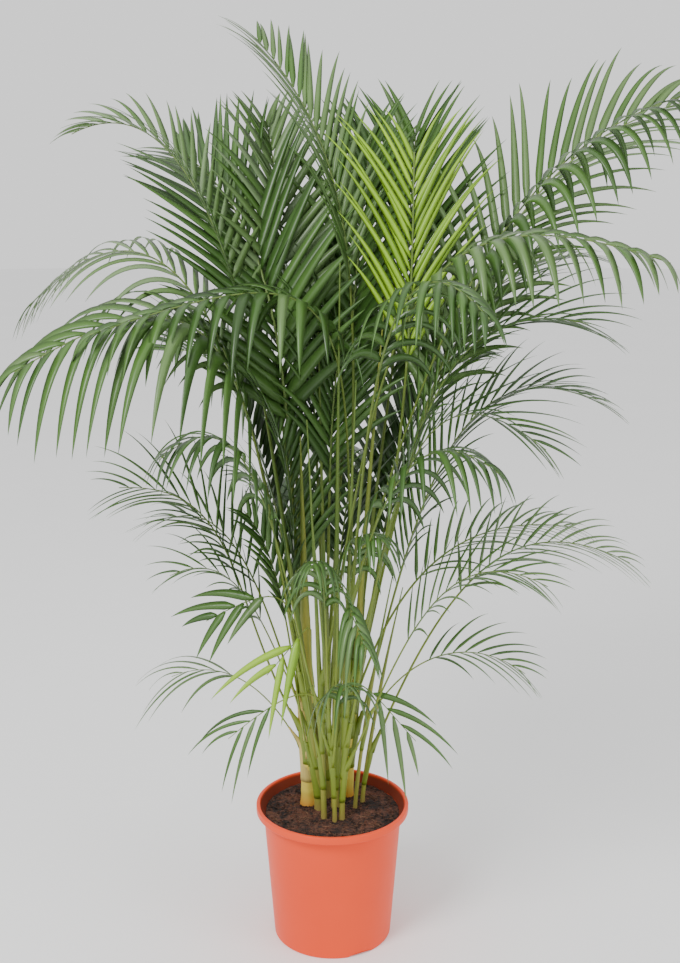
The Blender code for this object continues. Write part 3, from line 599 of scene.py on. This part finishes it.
def rib_ring(station):
    """A section that is round below and flatter above."""
    ring = []
    for side in range(RIB_SIDES):
        turn = math.tau * side / RIB_SIDES
        across, rise = math.cos(turn), math.sin(turn)
        rise *= 0.45 if rise > 0 else 0.9
        ring.append(station.centre + station.radius * (across * station.side + rise * station.normal))
    return ring


def rib_tube(frond, course, start, end):
    steps = max(3, round((end - start) / RIB_STEP))
    places = [start + (end - start) * step / steps for step in range(steps + 1)]
    return tube([rib_ring(station_at(frond, course, place)) for place in places])


SHEATH_BELOW = 0.055
SHEATH_ABOVE = 0.040
SHEATH_STEPS = 14
DRY_SHEATHS = ("low_left_3", "low_left_5", "middle_3")


def sheath_rings(frond, course):
    """The stalk's foot wraps its cane, and draws together into the stalk above."""
    cane = next(one for one in CANES if one.name == frond.cane)
    rings = []
    for step in range(SHEATH_STEPS + 1):
        share = step / SHEATH_STEPS
        rise = (SHEATH_BELOW + SHEATH_ABOVE) * share - SHEATH_BELOW
        centre, radius = cane_section(cane, frond.foot_z + rise)
        stalk = station_at(frond, course, max(0, rise))
        drawn = share * share * (3 - 2 * share)
        middle = centre.lerp(stalk.centre + min(0, rise) * UP, drawn)
        width = (1.05 * radius + 0.0005) * (1 - drawn) + 1.15 * stalk.radius * drawn
        turns = range(0, 360, 360 // CANE_SIDES)
        rings.append([middle + width * slanted(turn, 90) for turn in turns])
    return rings


courses = {frond.name: frond_course(frond) for frond in FRONDS}
stalks = Piece("stalks", "stalk", "leaf_light")
ribs = Piece("ribs", "rib", "leaf_light")
for frond in FRONDS:
    course = courses[frond.name]
    length = course[1][-1]
    stalks.add(*rib_tube(frond, course, 0, frond.bare * length))
    ribs.add(*rib_tube(frond, course, frond.bare * length, 0.995 * length))
stalks.finish()
ribs.finish()

sheaths = Piece("sheaths", "stalk", "cane_green")
dry_sheaths = Piece("dry_sheaths", "sheath", "cane_ripe")
for frond in FRONDS:
    piece = dry_sheaths if frond.name in DRY_SHEATHS else sheaths
    piece.add(*tube(sheath_rings(frond, courses[frond.name])))
sheaths.finish()
dry_sheaths.finish()

# %% [markdown]
# The leaflets
#
# A leaflet is a long narrow blade folded along its midrib. It widens at once from a narrow root,
# keeps its width, and runs out into a fine point. Its own weight bends it, more and more towards
# the tip. Here each one is a closed blade with a ridge above and a keel below, so it catches the
# light like a real one, and it stands at the angle and length that the solids' rule gives.

# %% Grow the leaflets

LEAFLET_TIP_SPREAD = 26
LEAFLET_LONGEST_AT = 0.4
LEAFLET_SHORTENING = 1.8
LEAFLET_STEPS = 14
LEAFLET_BEND_GROWTH = 1.3
LEAFLET_FOLD = 14
LEAFLET_THICKNESS = 0.0006
RIB_TIP_POINT = 0.012
STRAY_SPREAD = 4
STRAY_LIFT = 5
STRAY_WEEP = 0.15
STRAY_LENGTH = 0.06
STRAY_TWIST = 14


def blade_width(share):
    """Width of a leaflet along its length, as a share of its widest."""
    opening = min(1, 0.32 + share / 0.22)
    return opening * (1 - share**2.6) * (1 - 0.25 * share)


def leaflet_course(frond, root, side, share, chance):
    """Points down the midrib of a leaflet, with the heading at each."""
    habit = HABITS[frond.habit]
    spread = habit.spread + (LEAFLET_TIP_SPREAD - habit.spread) * share
    spread = math.radians(spread + chance.uniform(-STRAY_SPREAD, STRAY_SPREAD))
    lift = math.radians(habit.lift + chance.uniform(-STRAY_LIFT, STRAY_LIFT))
    weep = habit.weep * (1 + chance.uniform(-STRAY_WEEP, STRAY_WEEP))
    length = frond.leaflet * (1 + chance.uniform(-STRAY_LENGTH, STRAY_LENGTH))
    length *= 1 - LEAFLET_SHORTENING * (share - LEAFLET_LONGEST_AT) ** 2
    outward = math.cos(lift) * side * root.side + math.sin(lift) * root.normal
    start = math.cos(spread) * root.along + math.sin(spread) * outward
    points, headings = [root.centre + 0.6 * root.radius * side * root.side], [start.normalized()]
    for step in range(LEAFLET_STEPS):
        bend = weep * ((step + 0.5) / LEAFLET_STEPS) ** LEAFLET_BEND_GROWTH
        heading = (start - bend * UP).normalized()
        points.append(points[-1] + heading * length / LEAFLET_STEPS)
        headings.append(heading)
    return points, headings


def leaflet_shape(frond, root, side, share, chance):
    """Rings of four points, edge, ridge, edge and keel, then the tip."""
    points, headings = leaflet_course(frond, root, side, share, chance)
    width = HABITS[frond.habit].width * chance.uniform(0.85, 1.05) * (1 - 0.35 * share)
    twist = math.radians(chance.uniform(-STRAY_TWIST, STRAY_TWIST))
    across = (root.along - root.along.dot(headings[0]) * headings[0]).normalized()
    shape = []
    for step in range(LEAFLET_STEPS):
        heading = headings[step]
        across = (across - across.dot(heading) * heading).normalized()
        part = step / LEAFLET_STEPS
        turned = Matrix.Rotation(twist * part, 3, heading) @ across
        over = turned.cross(heading) * side
        half = 0.5 * width * blade_width(part)
        drop = half * math.tan(math.radians(LEAFLET_FOLD))
        thick = LEAFLET_THICKNESS * (1 - 0.6 * part)
        shape += [
            points[step] + half * turned - drop * over,
            points[step] + 0.5 * thick * over,
            points[step] - half * turned - drop * over,
            points[step] - thick * over,
        ]
    return shape + [points[-1]]


def leaflet_faces(side):
    faces = [(0, 1, 2, 3)]
    for step in range(LEAFLET_STEPS - 1):
        base = 4 * step
        for corner in range(4):
            following = (corner + 1) % 4
            faces.append((base + corner, base + 4 + corner, base + 4 + following, base + following))
    base, tip = 4 * (LEAFLET_STEPS - 1), 4 * LEAFLET_STEPS
    faces += [(base + corner, tip, base + (corner + 1) % 4) for corner in range(4)]
    return faces if side < 0 else [tuple(reversed(face)) for face in faces]


# Each group's and frond's step on the ladder of greens is partly its own tone, as in left_2's deep green, and
# partly painted light. Low steps are painted shade at the back, in the middle and on the right; high steps are
# painted sheen on upper, outer and left-hand fronds.
SHADE_OF_GROUP = {
    "top": 2.6,
    "left": 3.0,
    "front": 2.4,
    "right": 2.2,
    "middle": 2.2,
    "back": 1.5,
    "low_right": 3.2,
    "low_left": 2.8,
    "low_front": 3.2,
}
SHADE_OF_FROND = {
    "top_1": 3.7,
    "top_2": 4.0,
    "left_1": 4.2,
    "left_2": 2.4,
    "left_3": 4.2,
    "right_1": 3.8,
    "right_2": 3.8,
    "low_right_1": 4.4,
    "low_left_5": 3.8,
}
LIME_FRONDS = ("middle_2", "low_front_3")
STRAY_SHADE = 0.45


def tone_of(frond, chance):
    """A frond's leaflets are of one shade, give or take the next."""
    if frond.name in LIME_FRONDS:
        step = round(1 + chance.gauss(0, STRAY_SHADE))
        return f"lime_{max(0, min(len(LIMES) - 1, step))}"
    shade = SHADE_OF_FROND.get(frond.name, SHADE_OF_GROUP[frond.name.rsplit("_", 1)[0]])
    step = round(shade + chance.gauss(0, STRAY_SHADE))
    return f"green_{max(0, min(len(GREENS) - 1, step))}"


def grow_frond(frond, pieces):
    chance = random.Random(frond.name)
    course = courses[frond.name]
    length = course[1][-1]
    bare = frond.bare * length
    pairs = round((length - RIB_TIP_POINT - bare) / HABITS[frond.habit].pitch)
    pitch = (length - RIB_TIP_POINT - bare) / pairs
    for pair in range(pairs):
        for side in (1, -1):
            stagger = 0.5 + 0.22 * side
            root = station_at(frond, course, bare + (pair + stagger) * pitch)
            share = (pair + stagger) / pairs
            shape = leaflet_shape(frond, root, side, share, chance)
            pieces[tone_of(frond, chance)].add(shape, leaflet_faces(side))


foliage = {}
for step in range(len(GREENS)):
    slot = "leaf_dark" if step < 4 else "leaf_light"
    foliage[f"green_{step}"] = Piece(f"foliage_green_{step}", f"green_{step}", slot)
for step in range(len(LIMES)):
    foliage[f"lime_{step}"] = Piece(f"foliage_lime_{step}", f"lime_{step}", "leaf_young")
for frond in FRONDS:
    grow_frond(frond, foliage)

frond_nodes = [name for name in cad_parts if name.startswith("frond_")]
for tone, piece in foliage.items():
    nodes = [name for name in frond_nodes if tone == "green_2"]
    piece.finish(*nodes)

# %% [markdown]
# The pot
#
# A nursery pot is blow-moulded: a thin tapered wall, a rolled lip with a step under it, and drain
# notches in the foot. A turned profile gives all of it but the notches, and those are cut by
# flattened rods, as a mould would form them.

# %% Turn the pot and cut its notches

POT_HEIGHT = 0.220
POT_RIM_RADIUS = 0.120
POT_MOUTH_RADIUS = 0.1138
POT_SHOULDER_RADIUS = 0.1085
POT_FOOT_RADIUS = 0.093
POT_LIP_DEPTH = 0.012
POT_LIP_STEP = 0.003
POT_ROUNDING = 0.002
POT_WALL = 0.0025
POT_FLOOR = 0.004
POT_SIDES = 144
DRAIN_NOTCHES = 3
DRAIN_NOTCH_WIDTH = 0.040
DRAIN_NOTCH_HEIGHT = 0.0055
DRAIN_NOTCH_AZIMUTH = 298


def wall_radius(height):
    share = (height - POT_FLOOR) / (POT_HEIGHT - POT_LIP_DEPTH - POT_FLOOR)
    return POT_FOOT_RADIUS - POT_WALL + share * (POT_SHOULDER_RADIUS - POT_FOOT_RADIUS)


def rounded(centre_radius, centre_height, radius, start, end, steps=6):
    """An arc of a profile, from one angle to another."""
    turns = [math.radians(start + (end - start) * step / steps) for step in range(steps + 1)]
    return [(centre_radius + radius * math.cos(t), centre_height + radius * math.sin(t)) for t in turns]


def pot_profile():
    lip_foot = POT_HEIGHT - POT_LIP_DEPTH
    step_foot = lip_foot - POT_LIP_STEP
    outer = POT_RIM_RADIUS - POT_ROUNDING
    profile = [(0, 0), (POT_FOOT_RADIUS - 2 * POT_ROUNDING, 0)]
    profile += rounded(POT_FOOT_RADIUS - POT_ROUNDING, POT_ROUNDING, POT_ROUNDING, -90, 0)
    wall_rows = 10
    for row in range(1, wall_rows + 1):
        share = row / wall_rows
        radius = POT_FOOT_RADIUS + share * (POT_SHOULDER_RADIUS - POT_FOOT_RADIUS)
        profile.append((radius, POT_ROUNDING + share * (step_foot - POT_ROUNDING)))
    profile += rounded(outer, lip_foot + POT_ROUNDING, POT_ROUNDING, -90, 0)
    profile += rounded(outer, POT_HEIGHT - POT_ROUNDING, POT_ROUNDING, 0, 90)
    inner = POT_MOUTH_RADIUS + POT_ROUNDING
    profile += rounded(inner, POT_HEIGHT - POT_ROUNDING, POT_ROUNDING, 90, 180)
    profile += [(wall_radius(step_foot), step_foot), (wall_radius(POT_FLOOR), POT_FLOOR), (0, POT_FLOOR)]
    return profile


def turn_profile(piece, profile, sides):
    """A closed profile turned round the upright axis, whose ends lie on the axis."""
    inner = profile[1:-1]
    points = [Vector((0, 0, profile[0][1]))]
    for radius, height in inner:
        points += [radius * slanted(360 * side / sides, 90) + height * UP for side in range(sides)]
    points.append(Vector((0, 0, profile[-1][1])))
    last = len(points) - 1
    faces = []
    for side in range(sides):
        after = (side + 1) % sides
        faces.append((0, 1 + after, 1 + side))
        for row in range(len(inner) - 1):
            low, high = 1 + row * sides, 1 + (row + 1) * sides
            faces.append((low + side, low + after, high + after, high + side))
        top = 1 + (len(inner) - 1) * sides
        faces.append((top + side, top + after, last))
    piece.add(points, faces)


def cut_drain_notch(pot, turn):
    bpy.ops.mesh.primitive_cylinder_add(vertices=48, radius=0.5, depth=1)
    cutter = bpy.context.object
    across = Matrix.Rotation(math.radians(90), 4, "Y")
    size = Matrix.Diagonal((4 * POT_WALL, DRAIN_NOTCH_WIDTH, 2 * DRAIN_NOTCH_HEIGHT, 1))
    place = Matrix.Rotation(turn, 4, "Z") @ Matrix.Translation((POT_FOOT_RADIUS, 0, 0))
    cutter.data.transform(place @ size @ across)
    cut = pot.modifiers.new("drain", "BOOLEAN")
    cut.operation = "DIFFERENCE"
    cut.object = cutter
    bpy.context.view_layer.objects.active = pot
    bpy.ops.object.modifier_apply(modifier=cut.name)
    bpy.data.objects.remove(cutter)


def make_pot():
    piece = Piece("nursery_pot", "pot", "pot")
    turn_profile(piece, pot_profile(), POT_SIDES)
    pot = piece.finish("pot")
    for notch in range(DRAIN_NOTCHES):
        cut_drain_notch(pot, math.radians(DRAIN_NOTCH_AZIMUTH) + math.tau * notch / DRAIN_NOTCHES)
    pot.data.set_sharp_from_angle(angle=math.radians(35))
    return pot


make_pot()

# %% [markdown]
# The peat
#
# Peat in a pot is never flat: it sinks between the canes and is full of crumbs and pale root hairs.
# A fine grid of rings is pushed up and down by noise, and loose crumbs and fibres lie on it.

# %% Lay the peat, its crumbs and fibres

PEAT_RINGS = 60
PEAT_SIDES = 180
PEAT_LUMP = 0.0032
CRUMBS = 900
FIBRES = 200


def peat_height(x, y):
    """Height of the peat's surface: broad hollows, lumps and grit."""
    broad = noise.noise(Vector((x * 22, y * 22, 1.7)))
    lumps = noise.noise(Vector((x * 75, y * 75, 5.1)))
    grit = noise.noise(Vector((x * 260, y * 260, 9.3)))
    return SOIL_LEVEL + PEAT_LUMP * (0.45 * broad + 0.45 * lumps + 0.25 * grit)


def make_peat():
    piece = Piece("peat", "peat", "soil")
    edge = wall_radius(SOIL_LEVEL) - 0.0004
    foot = POT_FLOOR + CLEARANCE
    points = [Vector((0, 0, peat_height(0, 0)))]
    for ring in range(1, PEAT_RINGS + 1):
        for side in range(PEAT_SIDES):
            place = edge * ring / PEAT_RINGS * slanted(360 * side / PEAT_SIDES, 90)
            points.append(Vector((place.x, place.y, peat_height(place.x, place.y))))
    for side in range(PEAT_SIDES):
        points.append((wall_radius(foot) - 0.0004) * slanted(360 * side / PEAT_SIDES, 90) + foot * UP)
    points.append(Vector((0, 0, foot)))
    faces = []
    for side in range(PEAT_SIDES):
        after = (side + 1) % PEAT_SIDES
        faces.append((0, 1 + side, 1 + after))
        for ring in range(PEAT_RINGS):
            near, far = 1 + ring * PEAT_SIDES, 1 + (ring + 1) * PEAT_SIDES
            faces.append((near + side, far + side, far + after, near + after))
        rim = 1 + PEAT_RINGS * PEAT_SIDES
        faces.append((rim + side, len(points) - 1, rim + after))
    piece.add(points, faces)
    return piece.finish("soil")


def scatter(chance, reach=0.103):
    """A place on the peat, evenly over its area."""
    place = reach * math.sqrt(chance.random()) * slanted(chance.uniform(0, 360), 90)
    return Vector((place.x, place.y, peat_height(place.x, place.y)))


def make_crumbs():
    """Eight-sided lumps of peat, each a little squashed and turned."""
    chance = random.Random("crumbs")
    piece = Piece("peat_crumbs", "peat", "soil", smooth=False)
    corners = [Vector(corner) for corner in ((1, 0, 0), (-1, 0, 0), (0, 1, 0), (0, -1, 0), (0, 0, 1), (0, 0, -1))]
    faces = [(0, 2, 4), (2, 1, 4), (1, 3, 4), (3, 0, 4), (2, 0, 5), (1, 2, 5), (3, 1, 5), (0, 3, 5)]
    for _ in range(CRUMBS):
        size = chance.uniform(0.0008, 0.0030) * chance.uniform(0.5, 1)
        turn = Matrix.Rotation(chance.uniform(0, math.tau), 3, slanted(chance.uniform(0, 360), 50))
        squash = [size * chance.uniform(0.6, 1.3) for _ in range(3)]
        centre = scatter(chance) + 0.3 * size * UP
        lump = [centre + turn @ Vector([c * s for c, s in zip(corner, squash)]) for corner in corners]
        piece.add(lump, faces)
    return piece.finish()


def make_fibres():
    """Root hairs and coir: thin curved threads that lie on the peat."""
    chance = random.Random("fibres")
    piece = Piece("peat_fibres", "fibre", "soil")
    for _ in range(FIBRES):
        place = scatter(chance, 0.100)
        heading, length = chance.uniform(0, 360), chance.uniform(0.006, 0.022)
        radius = chance.uniform(0.0003, 0.0007)
        rings = []
        for step in range(6):
            rings.append([place + radius * slanted(heading + 90, tilt) for tilt in (0, 120, 240)])
            heading += chance.uniform(-28, 28)
            place = place + length / 5 * slanted(heading, 90)
            if math.hypot(place.x, place.y) > 0.104:
                break
            place.z = peat_height(place.x, place.y) + radius + chance.uniform(0, 0.0010)
        if len(rings) > 2:
            piece.add(*tube(rings))
    return piece.finish()


make_peat()
make_crumbs()
make_fibres()

# %% [markdown]
# Light, floor and camera
#
# The plant stands on a plain pale floor in soft studio light: a bright even surround, a broad lamp
# from the upper left and a weaker one from the right. The camera is where the photograph's was. It
# looks slightly down, so the far rim of the pot shows.

# %% Set up the studio

CAMERA_PLACE = (0.012, -1.937, 1.204)
CAMERA_DOWN = 13.49
CAMERA_LENS = 50
FLOOR_RADIUS = 14


def make_floor():
    paint = Paint("floor")
    paint.feed("Base Color", paint.blend(paint.cloud(2), (0.88, 0.88, 0.88), (0.92, 0.92, 0.92)))
    paint.feed("Roughness", 0.7)
    corners = [FLOOR_RADIUS * slanted(360 * side / 64, 90) for side in range(64)]
    mesh = bpy.data.meshes.new("floor")
    mesh.from_pydata(corners, [], [tuple(range(64))])
    mesh.materials.append(paint.material)
    floor = bpy.data.objects.new("floor", mesh)
    bpy.context.scene.collection.objects.link(floor)


def make_surround():
    world = bpy.data.worlds.new("studio")
    world.use_nodes = True
    backdrop = world.node_tree.nodes["Background"]
    backdrop.inputs["Color"].default_value = (1.0, 1.0, 1.0, 1)
    backdrop.inputs["Strength"].default_value = 1.15
    bpy.context.scene.world = world


def add_lamp(name, place, size, power, target=(0, 0, 0.8)):
    light = bpy.data.lights.new(name, "AREA")
    light.shape = "DISK"
    light.size = size
    light.energy = power
    lamp = bpy.data.objects.new(name, light)
    lamp.location = place
    lamp.rotation_euler = (Vector(target) - Vector(place)).to_track_quat("-Z", "Y").to_euler()
    bpy.context.scene.collection.objects.link(lamp)


def add_camera():
    lens = bpy.data.cameras.new("camera")
    lens.lens = CAMERA_LENS
    camera = bpy.data.objects.new("camera", lens)
    camera.location = CAMERA_PLACE
    camera.rotation_euler = (math.radians(90 - CAMERA_DOWN), 0, 0)
    bpy.context.scene.collection.objects.link(camera)
    bpy.context.scene.camera = camera


make_floor()
make_surround()
add_lamp("key", (-1.5, -1.9, 3.0), 1.2, 95)
add_lamp("fill", (2.2, -1.4, 1.8), 1.6, 20)
add_camera()
